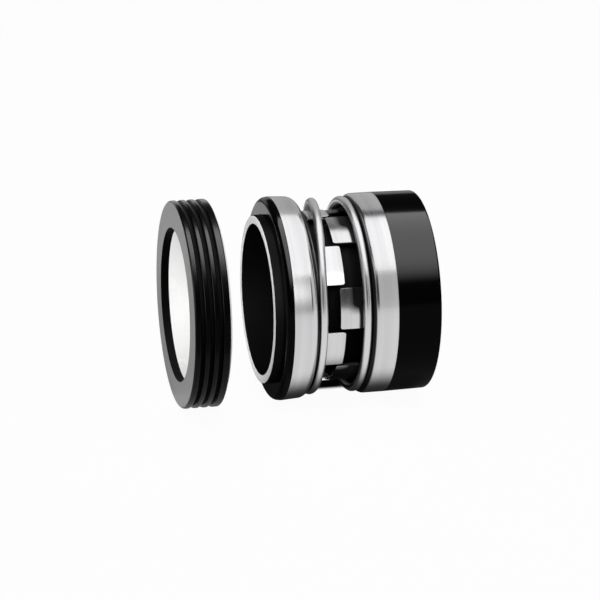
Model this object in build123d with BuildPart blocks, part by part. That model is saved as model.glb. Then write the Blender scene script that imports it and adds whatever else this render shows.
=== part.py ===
from build123d import *
import os
from math import cos, radians, sin

# Component mechanical seal for a shaft, in millimetres: a stationary seat that is pressed into
# the housing, and a rotating head that grips the shaft, set apart on one axis. The X axis is
# the shaft's, from the seat to the tail of the head. The origin is the centre of the seat's
# back face. Every section is drawn as X against radius and turned about X.

# Shaft that the seal fits, and the room for the seat from it to the housing's bore
shaft_r = 17.5
seat_room = 7.5

# Seat: ceramic ring in a ribbed rubber cup
seat_shaft_gap = 1.25
rib_squeeze = 0.25
groove_depth = 0.9
cup_wall = 1.15
cup_width = 8.7
cup_flange_t = 2.0
ring_proud = 0.7
ring_chamfer = 0.3
groove_count = 3
groove_first_x = 2.05
groove_pitch = 2.2
groove_width = 1.2
groove_floor_w = 0.5
groove_round = 0.2
rib_round = 0.35
cup_back_round = 0.7
cup_front_round = 0.5

# Distance at which the head stands off the seat
set_apart = 10.95

# Head: radial steps, counted inwards from its outside
head_wall = 7.0
sheet_t = 0.9
tab_step = 3.65
nose_step = 3.9
lip_step = 0.1
pocket_wall = 1.1

# Head: lengths, counted back from the nose
nose_out = 2.0
lip_t = 1.0
lip_l = 1.8
front_cup_l = 6.35
ring_l = 7.3
rear_cup_l = 6.2
tail_l = 10.65

# Sheet-metal cups and their tabs
front_flare = 0.4
front_shoulder_r = 2.3
rear_shoulder_r = 1.6
spring_seat_w = 0.05
tab_count = 6
tab_angle = 27.8
front_tab_l = 7.17
rear_tab_l = 7.25
slot_root = 1.2
tab_tip_round = 0.8
rear_tab_turn = 53.0
front_tab_turn = rear_tab_turn - 180 / tab_count

# Primary ring
nose_shaft_gap = 1.0
nose_chamfer = 0.2
pocket_gap = 0.1

# Rubber sleeve and tail of the bellows
sleeve_t = 0.75
sleeve_tab_gap = 0.9
sleeve_shaft_gap = 0.3
fold_count = 2
fold_round = 1.5
lip_round = 1.5
tail_round = 0.6
tail_draft = 0.2
grip_squeeze = 0.15
grip_lead = 1.2
grip_chamfer = 0.5
metal_gap = 0.1

# Spring: two flat end turns joined by a rising stretch, turned left-handed
wire_r = 1.05
wire_seat_gap = 0.05
coil_tab_gap = 1.0
coil_rise = 10.8
front_turn = 171.0
rise_turn = 277.0
rear_turn = 232.0
rise_start = 172.0
rise_ease = 0.15
rise_points = 24

# Radii worked out
seat_bore_r = shaft_r + seat_shaft_gap
housing_r = shaft_r + seat_room
rib_r = housing_r + rib_squeeze
groove_r = rib_r - groove_depth
seat_ring_r = groove_r - cup_wall
head_r = shaft_r + head_wall
shell_in_r = head_r - sheet_t
front_edge_r = head_r + front_flare
tab_r = head_r - tab_step
tab_in_r = tab_r - sheet_t
nose_r = head_r - nose_step
lip_r = front_edge_r - lip_step
pocket_out_r = shell_in_r - metal_gap
ring_flange_r = pocket_out_r - pocket_wall
nose_bore_r = shaft_r + nose_shaft_gap
front_bend_r = tab_step - front_shoulder_r - spring_seat_w
rear_bend_r = tab_step - rear_shoulder_r - spring_seat_w
crest_r = tab_in_r - sleeve_tab_gap
neck_r = shaft_r + sleeve_shaft_gap + sleeve_t
grip_r = shaft_r - grip_squeeze
coil_r = tab_r + coil_tab_gap + wire_r

# Places along the axis worked out
seat_face_x = cup_width + ring_proud
nose_x = seat_face_x + set_apart
lip_x = nose_x + nose_out
front_edge_x = lip_x + lip_l
front_face_x = front_edge_x + front_cup_l
front_tip_x = front_face_x + front_tab_l
ring_back_x = nose_x + ring_l
coil_front_x = front_face_x + wire_seat_gap + wire_r
coil_rear_x = coil_front_x + coil_rise
rear_face_x = coil_rear_x + wire_r + wire_seat_gap
rear_tip_x = rear_face_x - rear_tab_l
rear_edge_x = rear_face_x + rear_cup_l
tail_x = rear_edge_x + tail_l


def section(corners):
    """Closed outline from corners given as (x, radius from the axis, corner rounding)."""
    FilletPolyline(
        [(x, r) for x, r, _ in corners],
        radius=[rounding for _, _, rounding in corners],
        close=True,
    )


def cup_section(edge_x, edge_r, face_x, tip_x, shoulder_r, bend_r):
    """Sheet cup: shell, rounded shoulder, spring seat, bend and the tabs' full ring."""
    inner_x = face_x + (sheet_t if edge_x > face_x else -sheet_t)
    section(
        [
            (edge_x, edge_r, 0),
            (face_x, head_r, shoulder_r),
            (face_x, tab_r, bend_r),
            (tip_x, tab_r, 0),
            (tip_x, tab_in_r, 0),
            (inner_x, tab_in_r, bend_r + sheet_t),
            (inner_x, shell_in_r, shoulder_r - sheet_t),
            (edge_x, edge_r - sheet_t, 0),
        ]
    )


def slot_outline():
    """Wedge between two neighbouring tabs, seen along the axis."""
    half_gap = radians(180 / tab_count - tab_angle / 2)
    reach = head_r / cos(half_gap)
    side_y = reach * cos(half_gap)
    side_z = reach * sin(half_gap)
    Polygon((0, 0), (side_y, -side_z), (side_y, side_z), align=None)


def tip_corners(part, tip_x):
    """Short radial edges at the two corners of each tab's tip."""
    lines = part.edges().filter_by(GeomType.LINE)
    across_sheet = lines.filter_by(lambda edge: abs(edge.length - sheet_t) < 0.01)
    return across_sheet.filter_by(lambda edge: abs(edge.center().X - tip_x) < 0.01)


# Ceramic ring of the seat, lapped on the side of the head
with BuildPart() as seat_ring:
    with BuildSketch():
        with BuildLine():
            Polyline(
                (cup_flange_t, seat_bore_r),
                (seat_face_x - ring_chamfer, seat_bore_r),
                (seat_face_x, seat_bore_r + ring_chamfer),
                (seat_face_x, seat_ring_r - ring_chamfer),
                (seat_face_x - ring_chamfer, seat_ring_r),
                (cup_flange_t, seat_ring_r),
                close=True,
            )
        make_face()
    revolve(axis=Axis.X)
seat_ring.part.label = "seat_ring"

# Rubber cup of the seat: back flange, wall round the ring, and ribs between the grooves
groove_corners = []
for i in range(groove_count):
    centre_x = groove_first_x + i * groove_pitch
    low_x, low_floor_x = centre_x - groove_width / 2, centre_x - groove_floor_w / 2
    high_x, high_floor_x = centre_x + groove_width / 2, centre_x + groove_floor_w / 2
    groove_corners += [
        (low_x, rib_r, rib_round),
        (low_floor_x, groove_r, groove_round),
        (high_floor_x, groove_r, groove_round),
        (high_x, rib_r, rib_round),
    ]
with BuildPart() as seat_cup:
    with BuildSketch():
        with BuildLine():
            section(
                [
                    (0, seat_bore_r, 0),
                    (0, rib_r, cup_back_round),
                    *groove_corners,
                    (cup_width, rib_r, cup_front_round),
                    (cup_width, seat_ring_r, 0),
                    (cup_flange_t, seat_ring_r, 0),
                    (cup_flange_t, seat_bore_r, 0),
                ]
            )
        make_face()
    revolve(axis=Axis.X)
seat_cup.part.label = "seat_cup"

# Carbon ring: the nose that runs on the seat, and the flange held in the bellows
with BuildPart() as primary_ring:
    with BuildSketch():
        with BuildLine():
            Polyline(
                (nose_x, nose_bore_r),
                (nose_x, nose_r - nose_chamfer),
                (nose_x + nose_chamfer, nose_r),
                (lip_x + lip_t, nose_r),
                (lip_x + lip_t, ring_flange_r),
                (ring_back_x, ring_flange_r),
                (ring_back_x, nose_bore_r),
                close=True,
            )
        make_face()
    revolve(axis=Axis.X)
primary_ring.part.label = "primary_ring"

# Front sheet cup, which holds the bellows round the carbon ring, with its drive tabs
with BuildPart() as retainer:
    with BuildSketch():
        with BuildLine():
            cup_section(
                front_edge_x,
                front_edge_r,
                front_face_x,
                front_tip_x,
                front_shoulder_r,
                front_bend_r,
            )
        make_face()
    revolve(axis=Axis.X)
    with BuildSketch(Plane.YZ.offset(front_face_x + slot_root)):
        with PolarLocations(0, tab_count, start_angle=rear_tab_turn):
            slot_outline()
    extrude(amount=front_tip_x - front_face_x, mode=Mode.SUBTRACT)
    fillet(tip_corners(retainer.part, front_tip_x), tab_tip_round)
retainer.part.label = "retainer"

# Rear sheet cup, pressed on the bellows' tail, whose tabs stand between those of the front cup
with BuildPart() as drive_band:
    with BuildSketch():
        with BuildLine():
            cup_section(
                rear_edge_x, head_r, rear_face_x, rear_tip_x, rear_shoulder_r, rear_bend_r
            )
        make_face()
    revolve(axis=Axis.X)
    with BuildSketch(Plane.YZ.offset(rear_face_x - slot_root)):
        with PolarLocations(0, tab_count, start_angle=front_tab_turn):
            slot_outline()
    extrude(amount=rear_tip_x - rear_face_x, mode=Mode.SUBTRACT)
    fillet(tip_corners(drive_band.part, rear_tip_x), tab_tip_round)
drive_band.part.label = "drive_band"

# Bellows: lip and pocket round the carbon ring, folded sleeve, and the tail that grips the shaft
pocket_wall_x = front_face_x - sheet_t - metal_gap
tail_wall_x = rear_face_x + sheet_t + metal_gap
half_fold = (tail_wall_x - front_face_x - rear_bend_r) / (2 * fold_count + 1)
fold_line = []
for i in range(2 * fold_count + 1):
    fold_x = front_face_x + rear_bend_r + i * half_fold
    fold_line.append((fold_x, crest_r if i % 2 else neck_r, fold_round))
sleeve_inside = [(x, r - sleeve_t, rounding) for x, r, rounding in reversed(fold_line)]
with BuildPart() as bellows:
    with BuildSketch():
        with BuildLine():
            section(
                [
                    (lip_x, nose_r + pocket_gap, 0),
                    (lip_x, lip_r, lip_round),
                    (front_edge_x - metal_gap, lip_r, 0),
                    (front_edge_x - metal_gap, pocket_out_r + front_flare, 0),
                    (pocket_wall_x, pocket_out_r, front_shoulder_r - sheet_t - metal_gap),
                    (pocket_wall_x, neck_r, sleeve_t),
                    *fold_line,
                    (tail_wall_x, neck_r, sleeve_t),
                    (tail_wall_x, shell_in_r, rear_shoulder_r - sheet_t - metal_gap),
                    (rear_edge_x, shell_in_r, 0),
                    (rear_edge_x, head_r, 0),
                    (tail_x, head_r - tail_draft, tail_round),
                    (tail_x, grip_r + grip_chamfer, 0),
                    (tail_x - grip_chamfer, grip_r, 0),
                    (tail_wall_x + grip_lead, grip_r, 0),
                    *sleeve_inside,
                    (ring_back_x + pocket_gap, neck_r - sleeve_t, 0),
                    (ring_back_x + pocket_gap, ring_flange_r + pocket_gap, 0),
                    (lip_x + lip_t - pocket_gap, ring_flange_r + pocket_gap, 0),
                    (lip_x + lip_t - pocket_gap, nose_r + pocket_gap, 0),
                ]
            )
        make_face()
    revolve(axis=Axis.X)
bellows.part.label = "bellows"


def eased(share):
    """Share of the rise reached at a share of the turn, easing in and out of the flat turns."""
    slope = 1 / (1 - rise_ease)
    if share < rise_ease:
        return slope * share**2 / (2 * rise_ease)
    if share > 1 - rise_ease:
        return 1 - slope * (1 - share) ** 2 / (2 * rise_ease)
    return slope * (share - rise_ease / 2)


# Spring: a flat turn on the front cup, the rise, and a flat turn on the rear cup
rise_line = []
for i in range(rise_points + 1):
    angle = radians(rise_start - rise_turn * i / rise_points)
    x = coil_front_x + coil_rise * eased(i / rise_points)
    rise_line.append((x, coil_r * cos(angle), coil_r * sin(angle)))
with BuildPart() as spring:
    with BuildLine(Plane.YZ.offset(coil_front_x)) as front_coil:
        CenterArc((0, 0), coil_r, rise_start + front_turn, -front_turn)
    with BuildLine(Plane.YZ.offset(coil_rear_x)) as rear_coil:
        CenterArc((0, 0), coil_r, rise_start - rise_turn, -rear_turn)
    with BuildLine() as wire_line:
        add(front_coil.line)
        Spline(*rise_line)
        add(rear_coil.line)
    with BuildSketch(Plane(origin=wire_line.line @ 0, z_dir=wire_line.line % 0)):
        Circle(wire_r)
    sweep(path=wire_line.line)
spring.part.label = "spring"

os.makedirs("parts", exist_ok=True)
for piece in (seat_ring, seat_cup, primary_ring, retainer, drive_band, bellows, spring):
    export_step(piece.part, f"parts/{piece.part.label}.step")
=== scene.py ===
from math import atan2, ceil, cos, hypot, pi, radians, sin, tan

import bmesh
import bpy
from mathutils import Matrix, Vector


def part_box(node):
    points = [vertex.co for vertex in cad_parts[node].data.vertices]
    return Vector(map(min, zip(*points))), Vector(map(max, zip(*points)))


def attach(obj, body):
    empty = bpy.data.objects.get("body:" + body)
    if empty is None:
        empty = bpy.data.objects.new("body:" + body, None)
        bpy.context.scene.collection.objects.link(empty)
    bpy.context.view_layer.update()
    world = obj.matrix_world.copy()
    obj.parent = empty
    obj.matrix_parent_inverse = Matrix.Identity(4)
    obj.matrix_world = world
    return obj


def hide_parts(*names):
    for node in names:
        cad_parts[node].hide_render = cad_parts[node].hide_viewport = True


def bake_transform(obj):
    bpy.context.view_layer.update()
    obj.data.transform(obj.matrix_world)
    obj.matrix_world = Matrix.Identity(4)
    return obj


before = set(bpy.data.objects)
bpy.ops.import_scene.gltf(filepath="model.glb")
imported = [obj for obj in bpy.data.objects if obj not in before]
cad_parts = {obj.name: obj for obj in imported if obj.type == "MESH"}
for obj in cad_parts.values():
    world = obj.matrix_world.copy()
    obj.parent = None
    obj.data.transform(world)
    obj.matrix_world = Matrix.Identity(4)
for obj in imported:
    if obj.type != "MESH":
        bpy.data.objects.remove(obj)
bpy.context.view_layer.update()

MM = 0.001

# Places along the shaft's axis, and radii from it, as the frame has them
SEAT_BACK_X, SEAT_EDGE_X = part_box("seat_cup")[0].x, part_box("seat_cup")[1].x
SEAT_RING_X, SEAT_FACE_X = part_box("seat_ring")[0].x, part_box("seat_ring")[1].x
NOSE_X, RING_BACK_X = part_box("primary_ring")[0].x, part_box("primary_ring")[1].x
FRONT_EDGE_X, FRONT_TIP_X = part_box("retainer")[0].x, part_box("retainer")[1].x
REAR_TIP_X, REAR_EDGE_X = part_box("drive_band")[0].x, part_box("drive_band")[1].x
LIP_X, TAIL_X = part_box("bellows")[0].x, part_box("bellows")[1].x
WIRE_START_X, WIRE_END_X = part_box("spring")[0].x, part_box("spring")[1].x
RIB_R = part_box("seat_cup")[1].z
SEAT_RING_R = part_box("seat_ring")[1].z
RING_FLANGE_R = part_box("primary_ring")[1].z
HEAD_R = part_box("drive_band")[1].z
FRONT_EDGE_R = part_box("retainer")[1].z
SPRING_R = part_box("spring")[1].z

# Seat
SEAT_BORE_R = 18.75 * MM
SEAT_CHAMFER = 0.3 * MM
GROOVE_DEPTH = 0.9 * MM
GROOVE_R = RIB_R - GROOVE_DEPTH
GROOVE_COUNT = 3
GROOVE_FIRST_X = 2.05 * MM
GROOVE_PITCH = 2.2 * MM
GROOVE_W = 1.2 * MM
GROOVE_FLOOR_W = 0.5 * MM
GROOVE_ROUND = 0.2 * MM
RIB_ROUND = 0.35 * MM
CUP_BACK_ROUND = 0.7 * MM
CUP_FRONT_ROUND = 0.5 * MM

# Carbon ring
NOSE_BORE_R = 18.5 * MM
NOSE_STEP = 3.9 * MM
NOSE_R = HEAD_R - NOSE_STEP
NOSE_CHAMFER = 0.2 * MM

# Sheet-metal cups
SHEET_T = 0.9 * MM
TAB_DEPTH = 3.65 * MM
TAB_R = HEAD_R - TAB_DEPTH
TAB_IN_R = TAB_R - SHEET_T
FRONT_SHOULDER_R = 2.3 * MM
REAR_SHOULDER_R = 1.6 * MM
SPRING_SEAT_W = 0.05 * MM
FRONT_BEND_R = HEAD_R - TAB_R - FRONT_SHOULDER_R - SPRING_SEAT_W
REAR_BEND_R = HEAD_R - TAB_R - REAR_SHOULDER_R - SPRING_SEAT_W
SLOT_ROOT = 1.2 * MM
TAB_COUNT = 6
TAB_PITCH = 2 * pi / TAB_COUNT
TAB_ANGLE = radians(27.8)
TAB_TIP_ROUND = 0.8 * MM
TAB_TIP_SEGMENTS = 6
FRONT_TAB_TURN = radians(23.0)
REAR_TAB_TURN = radians(53.0)
EDGE_BREAK = 0.12 * MM

# Spring, with its turns in degrees
WIRE_R = 1.05 * MM
WIRE_SEAT_GAP = 0.05 * MM
COIL_R = SPRING_R - WIRE_R
FRONT_FACE_X = WIRE_START_X - WIRE_SEAT_GAP
REAR_FACE_X = WIRE_END_X + WIRE_SEAT_GAP
COIL_RISE = WIRE_END_X - WIRE_START_X - 2 * WIRE_R
FRONT_TURN = 171
RISE_TURN = 277
REAR_TURN = 232
RISE_START = 172
RISE_EASE = 0.15
WIRE_STEP = 3
WIRE_SIDES = 32
WIRE_END_BREAK = 0.15 * MM
WIRE_END_ANGLE = radians(60)

# Bellows
RUBBER_GAP = 0.1 * MM
LIP_STEP = 0.1 * MM
LIP_R = FRONT_EDGE_R - LIP_STEP
LIP_T = 1.0 * MM
LIP_ROUND = 1.5 * MM
SLEEVE_T = 0.75 * MM
NECK_R = 18.55 * MM
FOLD_CLEARANCE = 0.9 * MM
CREST_R = TAB_IN_R - FOLD_CLEARANCE
FOLD_COUNT = 2
FOLD_ROUND = 1.5 * MM
GRIP_R = 17.35 * MM
GRIP_LEAD = 1.2 * MM
GRIP_CHAMFER = 0.5 * MM
TAIL_ROUND = 0.6 * MM
TAIL_DRAFT = 0.2 * MM

# Meshes
AROUND = 240
SECTION_TURN = pi / 2
ROUNDING_STEP = radians(12)
ROUND_PROFILE = 0.5
LEAST_ROUNDING_SEGMENTS = 3
EDGE_SEGMENTS = 3
NORMAL_WEIGHT = 50
SMOOTH_ANGLE = radians(40)
MERGE_DISTANCE = 0.001 * MM


# ---- modelling ----

def select(kind, test):
    """Selects the vertices, edges or faces of the piece in edit mode that pass a test."""
    bpy.ops.mesh.select_mode(type={"verts": "VERT", "edges": "EDGE", "faces": "FACE"}[kind])
    bpy.ops.mesh.select_all(action="DESELECT")
    mesh = bmesh.from_edit_mesh(bpy.context.object.data)
    for element in getattr(mesh, kind):
        if test(element):
            element.select_set(True)
    mesh.select_flush_mode()
    bmesh.update_edit_mesh(bpy.context.object.data)


def near(vertex, x, r):
    """Whether a vertex of a section drawn above the axis stands at x and radius r."""
    return abs(vertex.co.x - x) < MERGE_DISTANCE and abs(vertex.co.z - r) < MERGE_DISTANCE


def round_corner(before, corner, after):
    """Rounds one corner of a section with an arc of the corner's own radius."""
    x, r, rounding = corner
    run_in = Vector((x - before[0], r - before[1]))
    run_out = Vector((after[0] - x, after[1] - r))
    turn = run_in.angle(run_out)
    select("verts", lambda vertex: near(vertex, x, r))
    bpy.ops.mesh.bevel(
        affect="VERTICES",
        offset=rounding * tan(turn / 2),
        segments=max(LEAST_ROUNDING_SEGMENTS, ceil(turn / ROUNDING_STEP)),
        profile=ROUND_PROFILE,
    )


def draw_section(name, corners, closed=True):
    """Starts a piece as its section above the axis, from corners (x, radius, rounding)."""
    bpy.ops.object.select_all(action="DESELECT")
    bpy.ops.mesh.primitive_plane_add(size=MM, location=(corners[0][0], 0, corners[0][1]))
    piece = bpy.context.object
    piece.name = name
    piece.data.name = name
    bpy.ops.object.transform_apply(location=True, rotation=True, scale=True)
    bpy.ops.object.mode_set(mode="EDIT")
    bpy.ops.mesh.select_mode(type="VERT")
    bpy.ops.mesh.select_all(action="SELECT")
    bpy.ops.mesh.merge(type="CENTER")
    for start, end in zip(corners, corners[1:]):
        step = (end[0] - start[0], 0, end[1] - start[1])
        bpy.ops.mesh.extrude_vertices_move(TRANSFORM_OT_translate={"value": step})
    ends = (corners[0], corners[-1])
    if closed:
        select("verts", lambda vertex: any(near(vertex, x, r) for x, r, _ in ends))
        bpy.ops.mesh.edge_face_add()
    for i, corner in enumerate(corners):
        rounding = corner[2]
        if rounding:
            round_corner(corners[i - 1], corner, corners[(i + 1) % len(corners)])
    bpy.ops.mesh.select_all(action="SELECT")
    return piece


def spin(angle, steps):
    """Turns what is selected about the shaft's axis, from Y towards Z."""
    bpy.ops.mesh.spin(steps=steps, angle=-angle, center=(0, 0, 0), axis=(1, 0, 0))


def turn_about_shaft(angle):
    """Rotates what is selected about the shaft's axis, from Y towards Z."""
    bpy.ops.transform.rotate(
        value=-angle, orient_axis="X", orient_type="GLOBAL", center_override=(0, 0, 0)
    )


def close_turn():
    """Joins the end of a full turn to its start, with the faces outwards."""
    bpy.ops.mesh.select_all(action="SELECT")
    bpy.ops.mesh.remove_doubles(threshold=MERGE_DISTANCE)
    bpy.ops.mesh.normals_make_consistent(inside=False)


def face_radius(face):
    """The distance of a face's middle from the shaft's axis."""
    centre = face.calc_center_median()
    return hypot(centre.y, centre.z)


def outward(face):
    """How far a face looks away from the shaft's axis, from -1 to 1."""
    centre = face.calc_center_median()
    return (face.normal.y * centre.y + face.normal.z * centre.z) / face_radius(face)


def apply_modifier(kind, **settings):
    """Adds a modifier to the active piece, with its settings, and applies it."""
    bpy.ops.object.modifier_add(type=kind)
    modifier = bpy.context.object.modifiers[-1]
    for setting, value in settings.items():
        setattr(modifier, setting, value)
    bpy.ops.object.modifier_apply(modifier=modifier.name)


def break_edges(width, angle):
    """Rounds every edge of the active piece that turns by more than an angle."""
    apply_modifier(
        "BEVEL", width=width, segments=EDGE_SEGMENTS, limit_method="ANGLE", angle_limit=angle
    )


def shade(piece, finish):
    """Leaves edit mode, smooths the piece and gives it its finish."""
    bpy.ops.object.mode_set(mode="OBJECT")
    bpy.ops.object.shade_smooth_by_angle(angle=SMOOTH_ANGLE)
    apply_modifier("WEIGHTED_NORMAL", keep_sharp=True, weight=NORMAL_WEIGHT)
    piece.data.materials.append(finish)
    return piece


def assign(piece, finish, test):
    """Gives a second finish to the faces of a piece that pass a test."""
    bpy.ops.object.select_all(action="DESELECT")
    bpy.context.view_layer.objects.active = piece
    piece.data.materials.append(finish)
    bpy.ops.object.mode_set(mode="EDIT")
    select("faces", test)
    piece.active_material_index = len(piece.data.materials) - 1
    bpy.ops.object.material_slot_assign()
    bpy.ops.object.mode_set(mode="OBJECT")


def turned(name, corners, finish):
    """A solid of revolution about the shaft's axis, from its closed section."""
    piece = draw_section(name, corners)
    spin(2 * pi, AROUND)
    close_turn()
    return shade(piece, finish)


def sheet_cup(name, edge, face_x, tip_x, shoulder_r, bend_r, tab_turn, finish):
    """A pressed cup: shell, rounded shoulder, spring seat, and tabs bent along the axis."""
    towards_tip = 1 if tip_x > face_x else -1
    slot_angle = TAB_PITCH - TAB_ANGLE
    corners = [
        (*edge, 0),
        (face_x, HEAD_R, shoulder_r),
        (face_x, TAB_R, bend_r),
        (tip_x, TAB_R, 0),
    ]
    piece = draw_section(name, corners, closed=False)
    for _ in range(TAB_COUNT):
        for angle in (TAB_ANGLE, slot_angle):
            spin(angle, round(AROUND * angle / (2 * pi)))
    close_turn()
    root_x = face_x + towards_tip * SLOT_ROOT
    bpy.ops.mesh.select_all(action="SELECT")
    bpy.ops.mesh.bisect(plane_co=(root_x, 0, 0), plane_no=(1, 0, 0), use_fill=False)

    def in_slot(face):
        centre = face.calc_center_median()
        past_tab_start = (atan2(centre.z, centre.y) - SECTION_TURN) % TAB_PITCH
        return (centre.x - root_x) * towards_tip > 0 and past_tab_start > TAB_ANGLE

    select("faces", in_slot)
    bpy.ops.mesh.delete(type="FACE")

    def is_tip_corner(vertex):
        return abs(vertex.co.x - tip_x) < MERGE_DISTANCE and len(vertex.link_faces) == 1

    select("verts", is_tip_corner)
    bpy.ops.mesh.bevel(
        affect="VERTICES",
        offset=TAB_TIP_ROUND,
        segments=TAB_TIP_SEGMENTS,
        profile=ROUND_PROFILE,
    )
    bpy.ops.mesh.select_all(action="SELECT")
    turn_about_shaft(tab_turn - (SECTION_TURN + TAB_ANGLE / 2))
    bpy.ops.mesh.normals_make_consistent(inside=False)
    mesh = bmesh.from_edit_mesh(piece.data)
    if sum(outward(face) for face in mesh.faces) < 0:
        bpy.ops.mesh.flip_normals()
    bpy.ops.object.mode_set(mode="OBJECT")
    apply_modifier("SOLIDIFY", thickness=SHEET_T, offset=-1, use_even_offset=True)
    break_edges(EDGE_BREAK, SMOOTH_ANGLE)
    return shade(piece, finish)


# ---- finishes ----

# Inputs and output of a Mix node that are colours
COLOUR_LOW, COLOUR_HIGH, COLOUR_RESULT = 6, 7, 2


class Value:
    """A shader output that takes part in Python expressions."""

    def __init__(self, nodes, socket):
        self.nodes = nodes
        self.socket = socket

    def math(self, operation, *values):
        return self.nodes.node("ShaderNodeMath", {"operation": operation}, dict(enumerate(values)))

    def __add__(self, other):
        return self.math("ADD", self, other)

    def __radd__(self, other):
        return self.math("ADD", other, self)

    def __sub__(self, other):
        return self.math("SUBTRACT", self, other)

    def __rsub__(self, other):
        return self.math("SUBTRACT", other, self)

    def __mul__(self, other):
        return self.math("MULTIPLY", self, other)

    def __rmul__(self, other):
        return self.math("MULTIPLY", other, self)

    def __truediv__(self, other):
        return self.math("DIVIDE", self, other)

    def __pow__(self, other):
        return self.math("POWER", self, other)

    def __gt__(self, other):
        return self.math("GREATER_THAN", self, other)

    def __lt__(self, other):
        return self.math("LESS_THAN", self, other)


class Nodes:
    """A node tree under construction."""

    def __init__(self, tree):
        self.tree = tree

    def node(self, kind, settings=None, inputs=None, output=0):
        """A node with its settings, and the values or links of its sockets."""
        node = self.tree.nodes.new(kind)
        for setting, value in (settings or {}).items():
            setattr(node, setting, value)
        for socket, value in (inputs or {}).items():
            self.feed(node.inputs[socket], value)
        return Value(self, node.outputs[output]) if node.outputs else node

    def feed(self, socket, value):
        """Links a value to a socket, or sets the socket to a number or colour."""
        if isinstance(value, Value):
            self.tree.links.new(value.socket, socket)
        else:
            socket.default_value = value

    def larger(self, one, other):
        return self.node("ShaderNodeMath", {"operation": "MAXIMUM"}, {0: one, 1: other})

    def between(self, amount, low, high):
        """Runs from low to high as amount runs from 0 to 1."""
        return self.node(
            "ShaderNodeMapRange", inputs={"Value": amount, "To Min": low, "To Max": high}
        )

    def rise(self, amount, start, end):
        """Runs smoothly from 0 to 1 as amount runs from start to end."""
        return self.node(
            "ShaderNodeMapRange",
            {"interpolation_type": "SMOOTHSTEP"},
            {"Value": amount, "From Min": start, "From Max": end},
        )

    def fall(self, amount, start, end):
        """Runs smoothly from 1 to 0 as amount runs from start to end."""
        return 1 - self.rise(amount, start, end)

    def mix_shader(self, amount, low, high):
        """Runs from one shader to another as amount runs from 0 to 1."""
        return self.node("ShaderNodeMixShader", inputs={0: amount, 1: low, 2: high})

    def rays(self):
        """Whether light is seen by the camera, in a glossy surface or through a clear one."""
        path = self.node("ShaderNodeLightPath")
        outputs = path.socket.node.outputs
        kinds = ("Is Camera Ray", "Is Glossy Ray", "Is Transmission Ray")
        return [Value(self, outputs[kind]) for kind in kinds]


class Finish(Nodes):
    """A material under construction."""

    def __init__(self, name):
        self.material = bpy.data.materials.new(name)
        self.material.use_nodes = True
        super().__init__(self.material.node_tree)
        self.tree.nodes.clear()
        self.place = self.node("ShaderNodeTexCoord", output="Object")

    def axes(self):
        """The three Object coordinates, in metres."""
        split = self.node("ShaderNodeSeparateXYZ", inputs={0: self.place})
        return [Value(self, socket) for socket in split.socket.node.outputs]

    def radius(self):
        """The distance from the shaft's axis."""
        _, y, z = self.axes()
        return (y * y + z * z) ** 0.5

    def noise(self, scale, detail, stretch=(1, 1, 1)):
        """Noise of a scale per metre, drawn out along an axis where stretch is under 1."""
        stretched = self.node(
            "ShaderNodeMapping", {"vector_type": "POINT"}, {"Vector": self.place, "Scale": stretch}
        )
        return self.node(
            "ShaderNodeTexNoise", inputs={"Vector": stretched, "Scale": scale, "Detail": detail}
        )

    def mix_colour(self, amount, low, high):
        """Runs from one colour to another as amount runs from 0 to 1."""
        low, high = [
            colour if isinstance(colour, Value) else (*colour, 1) for colour in (low, high)
        ]
        return self.node(
            "ShaderNodeMix",
            {"data_type": "RGBA"},
            {"Factor": amount, COLOUR_LOW: low, COLOUR_HIGH: high},
            output=COLOUR_RESULT,
        )

    def bump(self, height, depth):
        """A normal from a height that runs from 0 to 1 over a depth in metres."""
        return self.node("ShaderNodeBump", inputs={"Height": height, "Distance": depth})

    def surface(self, **inputs):
        """Ends the material in one surface shader and returns the material."""
        named = {key.replace("_", " "): value for key, value in inputs.items()}
        shader = self.node("ShaderNodeBsdfPrincipled", inputs=named)
        self.node("ShaderNodeOutputMaterial", inputs={"Surface": shader})
        return self.material


# Steel: colours, patterns, and pairs of places between which a mask rises or falls; the black is
# painted shade
PAINTED_SHADE_BLACK = (0.02, 0.02, 0.02)
BAND_COLOURS = (0.54, 0.54, 0.55), (0.9, 0.9, 0.91)
SHEET_ROUGHNESS = (0.14, 0.26)
CREVICE_ROUGHNESS = 0.2
POLISH_DEPTH = 0.001 * MM
POLISH_LINES = {"scale": 900, "detail": 4, "stretch": (1, 0.04, 0.04)}
POLISH_BANDS = {"scale": 380, "detail": 2, "stretch": (1, 0.02, 0.02)}
SMUDGES = {"scale": 60, "detail": 2}
SMUDGE_SHARE, LINE_SHARE = 0.6, 0.4
# Places of the cups' painted shade
POCKET_FADE = 0.35 * MM
POCKET_RISE_Z = (8.0 * MM, 18.0 * MM)
POCKET_FLOOR_R = (TAB_R + 0.05 * MM, TAB_R + 0.6 * MM)
SHADE_BEHIND_WIRE = (1.5 * MM, 2.0 * MM)
ONTO_TAB_R = (TAB_R + 0.02 * MM, TAB_R + 0.3 * MM)
OUTER_SIDE_R = (TAB_R - 0.12 * MM, TAB_R - 0.04 * MM)
TAB_SHADE_X = (REAR_TIP_X + 1.2 * MM, REAR_TIP_X + 4.6 * MM)
TAB_ROOT_X = (REAR_TIP_X + 4.3 * MM, REAR_TIP_X + 4.9 * MM)
TAB_SHADE_ACROSS = (0.3, 0.6)
LOWER_HALF_ACROSS = (0.45, 0.65)
LOWER_HALF_SHADE = 0.35
LOW_TAB_Z = (-15.0 * MM, -13.6 * MM)
LOWER_SIDES_Z = (-4.0 * MM, 0.0)
LOWER_SIDES_SHADE = 0.9
SHEARED_GRAIN = {"scale": 900, "detail": 3}
SHEARED_COLOURS = (0.27, 0.27, 0.28), (0.33, 0.33, 0.34)
SHEARED_ROUGHNESS = (0.5, 0.65)
WIRE_COLOUR = (0.76, 0.76, 0.77)
WIRE_ROUGHNESS = (0.24, 0.34)
WIRE_MARKS = {"scale": 500, "detail": 3, "stretch": (1, 0.3, 0.3)}
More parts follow.
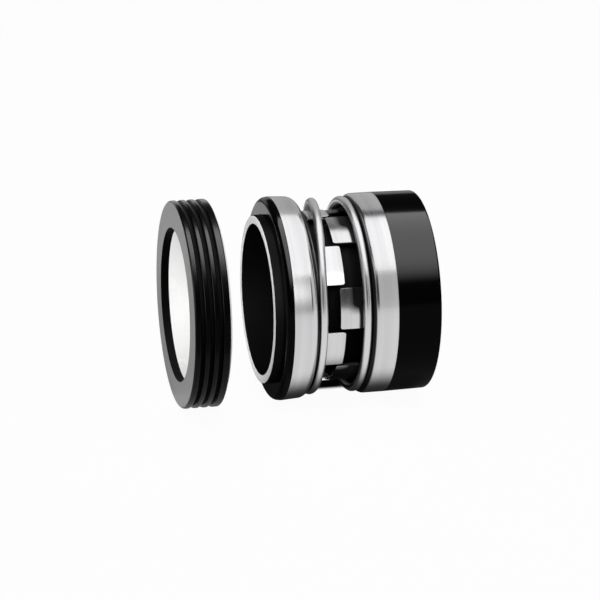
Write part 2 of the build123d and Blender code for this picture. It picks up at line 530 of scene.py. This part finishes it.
# Places of the wire's painted shade
WIRE_SEAT_SHADE = 0.2 * MM
LOW_INNER_SHADE_Z = (-20.0 * MM, -17.0 * MM)
LOW_INNER_SHADE_R = (COIL_R - 0.1 * MM, COIL_R + 0.4 * MM)


def polished_sheet(name, face_x, towards_tip, pocket_w, top_pocket_w, tab_dip, tab_shade):
    """Polished sheet with painted shade in the pocket beside the spring and on the tabs, which dip
    to their tips.
    """
    finish = Finish(name)
    x, y, z = finish.axes()
    r = finish.radius()
    onto_shell = (face_x - x) * towards_tip
    # Painted shade in the pocket beside the spring, of another width at the top, and on the tabs
    # behind the wire
    pocket_edge = finish.between(finish.rise(z, *POCKET_RISE_Z), pocket_w, top_pocket_w)
    pocket = finish.fall(onto_shell - pocket_edge, -POCKET_FADE, 0.0)
    pocket = pocket * finish.rise(r, *POCKET_FLOOR_R)
    shade_behind_wire = finish.fall(0 - onto_shell, *SHADE_BEHIND_WIRE)
    on_tab = finish.fall(r, *ONTO_TAB_R)

    # Share of a rear tab's width, from its upper side down
    turn = finish.node("ShaderNodeMath", {"operation": "ARCTAN2"}, {0: z, 1: y})
    across_tab = finish.node(
        "ShaderNodeMath",
        {"operation": "FLOORED_MODULO"},
        {0: REAR_TAB_TURN + TAB_ANGLE / 2 - turn, 1: TAB_PITCH},
    ) / TAB_ANGLE
    # Painted shade on the rear tabs: a corner by the spring, the root, the lower half across each
    # tab, the tabs low down, and the lower cut sides
    corner = finish.rise(x, *TAB_SHADE_X) * finish.rise(across_tab, *TAB_SHADE_ACROSS)
    corner = corner + finish.rise(x, *TAB_ROOT_X)
    corner = corner + LOWER_HALF_SHADE * finish.rise(across_tab, *LOWER_HALF_ACROSS)
    corner = corner + finish.fall(z, *LOW_TAB_Z)
    outer_side = finish.rise(r, *OUTER_SIDE_R)
    cut_side_shade = (1 - outer_side) * finish.fall(z, *LOWER_SIDES_Z) * LOWER_SIDES_SHADE
    shaded = (corner * outer_side + cut_side_shade) * tab_shade
    # dark is all the painted shade, which turns the steel black
    dark = finish.larger(pocket, finish.larger(shaded, shade_behind_wire) * on_tab)

    lines = finish.noise(**POLISH_LINES)
    bands = finish.noise(**POLISH_BANDS)
    smudges = finish.noise(**SMUDGES)
    rough = finish.between(smudges * SMUDGE_SHARE + lines * LINE_SHARE, *SHEET_ROUGHNESS)
    # The dip is in metres, so the distance of its bump is 1
    dip = x * towards_tip * on_tab * -tab_dip
    dipped = {"Height": dip, "Distance": 1.0, "Normal": finish.bump(lines, POLISH_DEPTH)}
    return finish.surface(
        Base_Color=finish.mix_colour(
            dark, finish.mix_colour(bands, *BAND_COLOURS), PAINTED_SHADE_BLACK
        ),
        Metallic=1.0,
        Roughness=rough + dark * CREVICE_ROUGHNESS,
        Normal=finish.node("ShaderNodeBump", inputs=dipped),
    )


def sheared_sheet():
    """The dull cut edges of the sheet."""
    finish = Finish("sheared_sheet_steel")
    grain = finish.noise(**SHEARED_GRAIN)
    return finish.surface(
        Base_Color=finish.mix_colour(grain, *SHEARED_COLOURS),
        Roughness=finish.between(grain, *SHEARED_ROUGHNESS),
    )


def drawn_wire():
    """Bright wire, with painted shade where its end turns lie against the cups and inside, low
    down.
    """
    finish = Finish("drawn_wire")
    x, _, z = finish.axes()
    # Painted shade on the end turns against the cups and on the inner side of the low turns
    seated_shade = finish.fall(x, WIRE_START_X, WIRE_START_X + WIRE_SEAT_SHADE)
    seated_shade = seated_shade + finish.rise(x, WIRE_END_X - WIRE_SEAT_SHADE, WIRE_END_X)
    low_inner_shade = finish.fall(z, *LOW_INNER_SHADE_Z) * finish.fall(finish.radius(), *LOW_INNER_SHADE_R)
    marks = finish.noise(**WIRE_MARKS)
    return finish.surface(
        Base_Color=finish.mix_colour(seated_shade + low_inner_shade, WIRE_COLOUR, PAINTED_SHADE_BLACK),
        Metallic=1.0,
        Roughness=finish.between(marks, *WIRE_ROUGHNESS),
        Normal=finish.bump(marks, POLISH_DEPTH),
    )


# Rubber: three grades, the seat's back with its painted sheen, and the seat's grooves
SEAT_RUBBER = {"grey": 0.0008, "gloss": 0.2, "roughness": (0.2, 0.3)}
BELLOWS_RUBBER = {"grey": 0.0005, "gloss": 0.2, "roughness": (0.1, 0.16)}
INNER_RUBBER = {"grey": 0.002, "gloss": 0.05, "roughness": (0.6, 0.8)}
RUBBER_GRAIN = {"scale": 4000, "detail": 2}
RUBBER_FLOW = {"scale": 90, "detail": 2, "stretch": (1, 0.4, 0.4)}
BACK_SHEEN_GREY = (0.3, 0.3, 0.3)
BACK_SHEEN_ROUGHNESS = 0.15
BACK_SHEEN_FADE = 0.1 * MM
BACK_SHEEN_X = 0.02 * MM
GROOVE_FADE = 0.4 * MM
GROOVE_ROUGHNESS = 0.8
DARK_FLOW, LIGHT_FLOW = 0.7, 1.3
RUBBER_GRAIN_DEPTH = 0.002 * MM
NOWHERE = -1.0


def moulded_rubber(name, grey, gloss, roughness, sheen_x=NOWHERE, groove_r=0.0):
    """Black rubber, painted grey and rougher before sheen_x as a painted sheen, and dull inside
    groove_r.
    """
    finish = Finish(name)
    x, _, _ = finish.axes()
    groove = finish.fall(finish.radius(), groove_r, groove_r + GROOVE_FADE)
    # The back's grey is a painted sheen for its grazing reflection
    back_sheen = finish.fall(x, sheen_x, sheen_x + BACK_SHEEN_FADE)
    grain = finish.noise(**RUBBER_GRAIN)
    flow = finish.noise(**RUBBER_FLOW)
    dark, light = grey * DARK_FLOW, grey * LIGHT_FLOW
    tint = finish.mix_colour(flow, (dark, dark, dark), (light, light, light))
    return finish.surface(
        Base_Color=finish.mix_colour(back_sheen, tint, BACK_SHEEN_GREY),
        Roughness=finish.between(flow, *roughness)
        + back_sheen * BACK_SHEEN_ROUGHNESS
        + groove * (1 - back_sheen) * GROOVE_ROUGHNESS,
        Specular_IOR_Level=gloss,
        Normal=finish.bump(grain, RUBBER_GRAIN_DEPTH),
    )


# Carbon and ceramic
LAPPED_X = NOSE_X + 0.02 * MM
# The lapped face's pale grey is a painted sheen
CARBON_BLACK, LAPPED_SHEEN_GREY = (0.003, 0.003, 0.003), (0.85, 0.85, 0.86)
CARBON_GRAIN = {"scale": 2500, "detail": 3}
LAPPED_METALLIC = 0.2
CARBON_ROUGHNESS, LAPPED_ROUGHNESS = 0.4, 0.25
CARBON_GLOSS = 0.08
CARBON_GRAIN_DEPTH = 0.002 * MM
CERAMIC_MOTTLE = {"scale": 300, "detail": 3}
CERAMIC_COLOURS = (0.84, 0.84, 0.83), (0.9, 0.9, 0.89)
CERAMIC_ROUGHNESS = (0.2, 0.32)
CERAMIC_GRAIN_DEPTH = 0.001 * MM


def carbon_graphite():
    """Black carbon with a lapped nose painted pale grey, a painted sheen."""
    finish = Finish("carbon_graphite")
    x, _, _ = finish.axes()
    lapped = x < LAPPED_X
    grain = finish.noise(**CARBON_GRAIN)
    return finish.surface(
        Base_Color=finish.mix_colour(lapped, CARBON_BLACK, LAPPED_SHEEN_GREY),
        Metallic=lapped * LAPPED_METALLIC,
        Roughness=finish.between(lapped, CARBON_ROUGHNESS, LAPPED_ROUGHNESS),
        Specular_IOR_Level=CARBON_GLOSS,
        Normal=finish.bump(grain, CARBON_GRAIN_DEPTH),
    )


def white_ceramic():
    """White ceramic, faintly mottled."""
    finish = Finish("white_ceramic")
    mottle = finish.noise(**CERAMIC_MOTTLE)
    return finish.surface(
        Base_Color=finish.mix_colour(mottle, *CERAMIC_COLOURS),
        Roughness=finish.between(mottle, *CERAMIC_ROUGHNESS),
        Normal=finish.bump(mottle, CERAMIC_GRAIN_DEPTH),
    )


# ---- pieces ----

def is_in_bore(face):
    """Whether a face of the seat's rubber lines its bore."""
    return face_radius(face) < SEAT_BORE_R + MERGE_DISTANCE


def build_seat():
    """The ceramic ring and its ribbed rubber cup."""
    ceramic = turned(
        "ceramic_ring",
        [
            (SEAT_RING_X, SEAT_BORE_R, 0),
            (SEAT_FACE_X - SEAT_CHAMFER, SEAT_BORE_R, 0),
            (SEAT_FACE_X, SEAT_BORE_R + SEAT_CHAMFER, 0),
            (SEAT_FACE_X, SEAT_RING_R - SEAT_CHAMFER, 0),
            (SEAT_FACE_X - SEAT_CHAMFER, SEAT_RING_R, 0),
            (SEAT_RING_X, SEAT_RING_R, 0),
        ],
        white_ceramic(),
    )
    grooves = []
    for i in range(GROOVE_COUNT):
        centre_x = SEAT_BACK_X + GROOVE_FIRST_X + i * GROOVE_PITCH
        grooves += [
            (centre_x - GROOVE_W / 2, RIB_R, RIB_ROUND),
            (centre_x - GROOVE_FLOOR_W / 2, GROOVE_R, GROOVE_ROUND),
            (centre_x + GROOVE_FLOOR_W / 2, GROOVE_R, GROOVE_ROUND),
            (centre_x + GROOVE_W / 2, RIB_R, RIB_ROUND),
        ]
    cup = turned(
        "ribbed_cup",
        [
            (SEAT_BACK_X, SEAT_BORE_R, 0),
            (SEAT_BACK_X, RIB_R, CUP_BACK_ROUND),
            *grooves,
            (SEAT_EDGE_X, RIB_R, CUP_FRONT_ROUND),
            (SEAT_EDGE_X, SEAT_RING_R, 0),
            (SEAT_RING_X, SEAT_RING_R, 0),
            (SEAT_RING_X, SEAT_BORE_R, 0),
        ],
        moulded_rubber(
            "seat_rubber", **SEAT_RUBBER, sheen_x=BACK_SHEEN_X, groove_r=GROOVE_R
        ),
    )
    assign(cup, moulded_rubber("seat_lip_rubber", **INNER_RUBBER), is_in_bore)
    for piece, node, slot in ((ceramic, "seat_ring", "ceramic"), (cup, "seat_cup", "seat_rubber")):
        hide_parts(node)
        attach(piece, "seat")
    return {"ceramic": ceramic, "seat_rubber": cup}


def build_carbon_ring():
    """The carbon ring, with its nose in front and its flange in the bellows."""
    flange_x = LIP_X + LIP_T
    ring = turned(
        "carbon_ring",
        [
            (NOSE_X, NOSE_BORE_R, 0),
            (NOSE_X, NOSE_R - NOSE_CHAMFER, 0),
            (NOSE_X + NOSE_CHAMFER, NOSE_R, 0),
            (flange_x, NOSE_R, 0),
            (flange_x, RING_FLANGE_R, 0),
            (RING_BACK_X, RING_FLANGE_R, 0),
            (RING_BACK_X, NOSE_BORE_R, 0),
        ],
        carbon_graphite(),
    )
    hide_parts("primary_ring")
    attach(ring, "face_unit")
    return {"carbon": ring}


# The dull cut edge is real; giving it only to the upper tabs, where light falls from above, is
# painted light, and the lower cut sides get painted shade in polished_sheet
UPPER_TABS_Z = 17 * MM
SIDE_FACING = 0.5


def is_tab_side(face):
    """Whether a face of a cup is the cut side of one of its upper tabs."""
    across = max(abs(outward(face)), abs(face.normal.x)) < SIDE_FACING
    high = face.calc_center_median().z > UPPER_TABS_Z
    return across and high and face_radius(face) < TAB_R


def build_cups():
    """The two cups, whose tabs stand between each other."""
    front_steel = polished_sheet(
        "front_cup_steel",
        FRONT_FACE_X,
        towards_tip=1,
        pocket_w=0.85 * MM,
        top_pocket_w=1.15 * MM,
        tab_dip=0.0,
        tab_shade=0.0,
    )
    rear_steel = polished_sheet(
        "rear_cup_steel",
        REAR_FACE_X,
        towards_tip=-1,
        pocket_w=1.0 * MM,
        top_pocket_w=0.6 * MM,
        tab_dip=0.22,
        tab_shade=1.0,
    )
    front = sheet_cup(
        "front_cup",
        (FRONT_EDGE_X, FRONT_EDGE_R),
        FRONT_FACE_X,
        FRONT_TIP_X,
        FRONT_SHOULDER_R,
        FRONT_BEND_R,
        FRONT_TAB_TURN,
        front_steel,
    )
    rear = sheet_cup(
        "rear_cup",
        (REAR_EDGE_X, HEAD_R),
        REAR_FACE_X,
        REAR_TIP_X,
        REAR_SHOULDER_R,
        REAR_BEND_R,
        REAR_TAB_TURN,
        rear_steel,
    )
    assign(rear, sheared_sheet(), is_tab_side)
    for piece, node, body in ((front, "retainer", "face_unit"), (rear, "drive_band", "drive_unit")):
        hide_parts(node)
        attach(piece, body)
    return {"front_cup": front, "rear_cup": rear}


def build_bellows():
    """The rubber: lip and pocket in front, folded sleeve, and the tail that grips the shaft."""
    metal_edge_x = FRONT_EDGE_X - RUBBER_GAP
    pocket_wall_x = FRONT_FACE_X - SHEET_T - RUBBER_GAP
    tail_wall_x = REAR_FACE_X + SHEET_T + RUBBER_GAP
    pocket_r = HEAD_R - SHEET_T - RUBBER_GAP
    pocket_mouth_r = FRONT_EDGE_R - SHEET_T - RUBBER_GAP
    shell_in_r = HEAD_R - SHEET_T
    front_corner_r = FRONT_SHOULDER_R - SHEET_T - RUBBER_GAP
    rear_corner_r = REAR_SHOULDER_R - SHEET_T - RUBBER_GAP
    fold_start_x = FRONT_FACE_X + REAR_BEND_R
    half_fold = (tail_wall_x - fold_start_x) / (2 * FOLD_COUNT + 1)
    folds = [
        (fold_start_x + i * half_fold, CREST_R if i % 2 else NECK_R, FOLD_ROUND)
        for i in range(2 * FOLD_COUNT + 1)
    ]
    inside = [(x, r - SLEEVE_T, rounding) for x, r, rounding in reversed(folds)]
    bellows = turned(
        "rubber_bellows",
        [
            (LIP_X, NOSE_R + RUBBER_GAP, 0),
            (LIP_X, LIP_R, LIP_ROUND),
            (metal_edge_x, LIP_R, 0),
            (metal_edge_x, pocket_mouth_r, 0),
            (pocket_wall_x, pocket_r, front_corner_r),
            (pocket_wall_x, NECK_R, SLEEVE_T),
            *folds,
            (tail_wall_x, NECK_R, SLEEVE_T),
            (tail_wall_x, shell_in_r, rear_corner_r),
            (REAR_EDGE_X, shell_in_r, 0),
            (REAR_EDGE_X, HEAD_R, 0),
            (TAIL_X, HEAD_R - TAIL_DRAFT, TAIL_ROUND),
            (TAIL_X, GRIP_R + GRIP_CHAMFER, 0),
            (TAIL_X - GRIP_CHAMFER, GRIP_R, 0),
            (tail_wall_x + GRIP_LEAD, GRIP_R, 0),
            *inside,
            (RING_BACK_X + RUBBER_GAP, NECK_R - SLEEVE_T, 0),
            (RING_BACK_X + RUBBER_GAP, RING_FLANGE_R + RUBBER_GAP, 0),
            (LIP_X + LIP_T - RUBBER_GAP, RING_FLANGE_R + RUBBER_GAP, 0),
            (LIP_X + LIP_T - RUBBER_GAP, NOSE_R + RUBBER_GAP, 0),
        ],
        moulded_rubber("bellows_rubber", **BELLOWS_RUBBER),
    )

    def is_between_cups(face):
        return pocket_wall_x < face.calc_center_median().x < tail_wall_x

    assign(bellows, moulded_rubber("sleeve_rubber", **INNER_RUBBER), is_between_cups)
    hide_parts("bellows")
    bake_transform(bellows)
    return {"bellows": bellows}


def eased(share):
    """Share of the spring's rise at a share of its turn, easing from and to the flat turns."""
    slope = 1 / (1 - RISE_EASE)
    if share < RISE_EASE:
        return slope * share**2 / (2 * RISE_EASE)
    if share > 1 - RISE_EASE:
        return 1 - slope * (1 - share) ** 2 / (2 * RISE_EASE)
    return slope * (share - RISE_EASE / 2)


def build_spring():
    """The wire, drawn round from its front end with a flat turn at each end."""
    bpy.ops.object.select_all(action="DESELECT")
    bpy.ops.mesh.primitive_circle_add(
        vertices=WIRE_SIDES,
        radius=WIRE_R,
        fill_type="NGON",
        location=(WIRE_START_X + WIRE_R, COIL_R, 0),
    )
    spring = bpy.context.object
    spring.name = "coil_spring"
    spring.data.name = "coil_spring"
    bpy.ops.object.transform_apply(location=True, rotation=True, scale=True)
    bpy.ops.object.mode_set(mode="EDIT")
    bpy.ops.mesh.select_all(action="SELECT")
    turn_about_shaft(radians(FRONT_TURN + RISE_START))
    heights = [0] * round(FRONT_TURN / WIRE_STEP)
    rise_steps = round(RISE_TURN / WIRE_STEP)
    for i in range(rise_steps):
        heights.append(COIL_RISE * (eased((i + 1) / rise_steps) - eased(i / rise_steps)))
    heights += [0] * round(REAR_TURN / WIRE_STEP)
    for height in heights:
        bpy.ops.mesh.extrude_region_move(TRANSFORM_OT_translate={"value": (height, 0, 0)})
        turn_about_shaft(-radians(WIRE_STEP))
    bpy.ops.mesh.select_all(action="SELECT")
    bpy.ops.mesh.normals_make_consistent(inside=False)
    bpy.ops.object.mode_set(mode="OBJECT")
    break_edges(WIRE_END_BREAK, WIRE_END_ANGLE)
    shade(spring, drawn_wire())
    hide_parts("spring")
    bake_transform(spring)
    return {"spring": spring}


# ---- studio ----

CAMERA_AT = (-136.51 * MM, -727.91 * MM, 227.33 * MM)
CAMERA_ALONG = (0.2145, 0.9320, -0.2922)
CAMERA_LENS = 192
CAMERA_CLIP = 0.01
SENSOR_W = 36

# Floor paper: a painted shadow of the head, which leans back to the right
FLOOR_SIZE = 6
PAPER_WHITE = (0.9, 0.9, 0.9)
SHADOW_BLACK = (0.01, 0.01, 0.01)
SHADOW_LEAN = 0.23
SHADOW_X, SHADOW_Y = 38.5 * MM, 9.0 * MM
SHADOW_HALF_W = 8.0 * MM
SHADOW_NEAR, SHADOW_FAR = 11.5 * MM, 21.0 * MM
SHADOW_FADE = (0.1, 4.2)
SHADOW_START_Y = (2.0 * MM, 4.5 * MM)

# Floor paper as metal mirrors it: painted shade under the head, a painted light patch behind the
# seal, and paper greyed in gloss
MIRRORED_DARK = 0.79
DARK_Y_START, DARK_Y_END = (-20.0 * MM, -8.0 * MM), (40.0 * MM, 75.0 * MM)
DARK_X_START = (5.0 * MM, 13.0 * MM)
DARK_X_END = (TAIL_X - 4.0 * MM, TAIL_X + 4.0 * MM)
LIGHT_Y_START, LIGHT_Y_END = (85.0 * MM, 130.0 * MM), (220.0 * MM, 300.0 * MM)
LIGHT_X_START, LIGHT_X_END = (-60.0 * MM, -40.0 * MM), (10.0 * MM, 30.0 * MM)
MIRRORED_LIGHT = 0.6
MIRRORED_PAPER = 0.1
MIRRORED_GREY = 0.75
PAPER_SEEN = 0.88
PAPER_GLOW = 1.09

# Room: strengths for the light it gives, in gloss and to the camera
WHITE = (1, 1, 1, 1)
ROOM_LIGHT, ROOM_GLOSS, ROOM_SEEN = 0.1, 0.02, 1.0

STEEL = ("front_cup", "rear_cup", "spring")
STEEL_CARD_R = 1.3
STEEL_CARD_Z = 0.5
STEEL_CARD_H = 1.2
STEEL_CARD_RADIANCE = 0.6
STEEL_CARD_WIDTHS = {13: 0.42, 60: 0.9, 115: 0.9, -60: 0.9, -115: 0.9}


def steel_card(turn, width):
    """The softbox that steel mirrors at a turn from the front, in degrees."""
    angle = radians(turn)
    at = (STEEL_CARD_R * sin(angle), -STEEL_CARD_R * cos(angle), STEEL_CARD_Z)
    towards = (0, 0, STEEL_CARD_Z)
    size = (width, STEEL_CARD_H)
    return f"steel_card_{turn}", at, towards, size, STEEL_CARD_RADIANCE, STEEL, None


# Softboxes: name, place, point that it faces, size, radiance, the pieces that it lights, and
# where along its height its light comes in, as shares; sizes and places in metres
SOFTBOXES = (
    ("tail_back_card", (0.3, 1.3, 0.15), (0.3, 0, 0.15), (1.6, 0.34), 0.4, ("bellows",), None),
    ("seat_back_card", (0.3, 1.3, 0.2), (0.3, 0, 0.2), (1.6, 0.48), 1.1, ("seat_rubber",), None),
    ("overhead", (0.15, -0.16, 0.6), (0.15, -0.16, 0), (1.1, 1.1), 1.2,
     ("ceramic", "carbon", "front_cup", "spring"), None),
    ("overhead_rear_cup", (0.15, -0.24, 0.6), (0.15, -0.24, 0), (1.1, 0.94), 1.2,
     ("rear_cup",), None),
    ("overhead_floor", (0.15, -0.16, 0.66), (0.15, -0.16, 0), (1.1, 1.1), 0.35,
     ("floor",), None),
    ("overhead_bellows", (0.15, -0.53, 0.63), (0.15, -0.53, 0), (1.1, 1.68), 5.6,
     ("bellows",), (0.0, 0.6)),
    ("overhead_seat", (0.15, -0.24, 0.63), (0.15, -0.24, 0), (1.1, 0.82), 8.3,
     ("seat_rubber",), (0.0, 0.67)),
    ("bore_light", (-0.3, -0.95, 0.3), (0, 0, 0), (1.2, 1.2), 3.6, ("ceramic", "carbon"), None),
    ("seat_floor_card", (0.005, -0.02, -0.0245), (0.005, -0.02, 1), (0.12, 0.05), 0.3,
     ("seat_rubber",), None),
    ("bore_fill", (-0.2, -0.9, 0.1), (0, 0, 0), (1.2, 0.2), 1.2, ("ceramic",), None),
    ("bore_floor_card", (-0.07, -0.05, -0.0245), (-0.07, -0.05, 1), (0.1, 0.1), 3.4,
     ("ceramic",), None),
    ("side_light", (-1.2, -0.35, 0.25), (0, 0, 0), (1.0, 1.0), 2.6, ("seat_rubber",), None),
    ("nose_light", (-1.2, -0.35, 0.25), (0, 0, 0), (1.0, 1.0), 7.6, ("carbon",), None),
    *(steel_card(turn, width) for turn, width in STEEL_CARD_WIDTHS.items()),
    ("steel_back_card", (0.3, 1.3, 0.98), (0.3, 0, 0.98), (1.6, 2.0), 0.45, STEEL, None),
    ("steel_floor_card", (0.1, -0.412, -0.0245), (0.1, -0.412, 1), (0.9, 0.8), 0.66, STEEL,
     (1.0, 0.985)),
    ("front_cup_card", (0.29, -1.26, 0.605), (0, 0, 0.605), (0.5, 1.11), 1.2,
     ("front_cup",), (0.0, 0.4)),
)


def lay_floor():
    """White paper with a painted shadow of the head, and painted darks and lights that metal
    mirrors.
    """
    bpy.ops.mesh.primitive_plane_add(size=FLOOR_SIZE, location=(0, 0, -RIB_R))
    floor = bpy.context.object
    floor.name = "floor"
    paper = Finish("floor_paper")
    by_camera, in_gloss, through = paper.rays()
    x, y, _ = paper.axes()
    # The painted shadow of the head, an oval that leans back to the right
    across = (x - y * SHADOW_LEAN - SHADOW_X) / SHADOW_HALF_W
    along = (y - SHADOW_Y) * paper.between(y > SHADOW_Y, 1 / SHADOW_NEAR, 1 / SHADOW_FAR)
    shadow = paper.fall(across * across + along * along, *SHADOW_FADE)
    shadow = shadow * shadow * paper.rise(y, *SHADOW_START_Y)
    # Painted shade and painted light that only glossy rays see
    dark = paper.rise(y, *DARK_Y_START) * paper.fall(y, *DARK_Y_END)
    dark = dark * paper.rise(x, *DARK_X_START) * paper.fall(x, *DARK_X_END)
    shadow = paper.larger(shadow, dark * in_gloss * MIRRORED_DARK)
    light = paper.rise(y, *LIGHT_Y_START) * paper.fall(y, *LIGHT_Y_END)
    light = light * paper.rise(x, *LIGHT_X_START) * paper.fall(x, *LIGHT_X_END)
    mirrored = in_gloss * (light * MIRRORED_LIGHT + MIRRORED_PAPER)
    seen = (by_camera * PAPER_SEEN + mirrored + through) * (1 - shadow)
    colour = paper.mix_colour(shadow + in_gloss * MIRRORED_GREY, PAPER_WHITE, SHADOW_BLACK)
    lit = paper.node("ShaderNodeBsdfDiffuse", inputs={"Color": colour})
    plain = paper.node("ShaderNodeEmission", inputs={"Strength": PAPER_GLOW})
    both = paper.mix_shader(seen, lit, plain)
    paper.node("ShaderNodeOutputMaterial", inputs={"Surface": both})
    floor.data.materials.append(paper.material)
    return {"floor": floor}


def light_room():
    """A white room that gives little light itself."""
    world = bpy.data.worlds.new("studio")
    bpy.context.scene.world = world
    world.use_nodes = True
    room = Nodes(world.node_tree)
    room.tree.nodes.clear()
    by_camera, in_gloss, through = room.rays()
    dim, dark, white = [
        room.node("ShaderNodeBackground", inputs={"Color": WHITE, "Strength": strength})
        for strength in (ROOM_LIGHT, ROOM_GLOSS, ROOM_SEEN)
    ]
    lighting = room.mix_shader(in_gloss, dim, dark)
    both = room.mix_shader(by_camera + through, lighting, white)
    room.node("ShaderNodeOutputWorld", inputs={"Surface": both})


def hang_softbox(name, at, towards, size, radiance, lit_pieces, fade):
    """A rectangular lamp of a stated brightness, facing a point, that lights some pieces."""
    bpy.ops.object.light_add(type="AREA", location=at)
    lamp = bpy.context.object
    lamp.name = name
    lamp.rotation_euler = (Vector(towards) - Vector(at)).to_track_quat("-Z", "Y").to_euler()
    lamp.data.shape = "RECTANGLE"
    lamp.data.size, lamp.data.size_y = size
    lamp.data.energy = radiance * pi * size[0] * size[1]
    lamp.visible_camera = False
    lit = bpy.data.collections.new(name + "_lit")
    for piece in lit_pieces:
        lit.objects.link(piece)
    lamp.light_linking.receiver_collection = lit
    if fade:
        lamp.data.use_nodes = True
        nodes = Nodes(lamp.data.node_tree)
        place = nodes.node("ShaderNodeNewGeometry", output="Parametric")
        height = nodes.node("ShaderNodeSeparateXYZ", inputs={0: place}, output="Y")
        glow = nodes.tree.nodes["Emission"]
        nodes.feed(glow.inputs["Strength"], nodes.rise(height, *fade))


def place_camera():
    """The camera at the front left, a little above."""
    bpy.ops.object.camera_add(location=CAMERA_AT)
    camera = bpy.context.object
    camera.rotation_euler = Vector(CAMERA_ALONG).to_track_quat("-Z", "Y").to_euler()
    camera.data.lens = CAMERA_LENS
    camera.data.sensor_width = SENSOR_W
    camera.data.clip_start = CAMERA_CLIP
    bpy.context.scene.camera = camera


pieces = build_seat()
pieces |= build_carbon_ring()
pieces |= build_cups()
pieces |= build_bellows()
pieces |= build_spring()
pieces |= lay_floor()
light_room()
for name, at, towards, size, radiance, lit_names, fade in SOFTBOXES:
    lit_pieces = [pieces[lit_name] for lit_name in lit_names]
    hang_softbox(name, at, towards, size, radiance, lit_pieces, fade)
place_camera()
bpy.context.scene.view_settings.view_transform = "Standard"
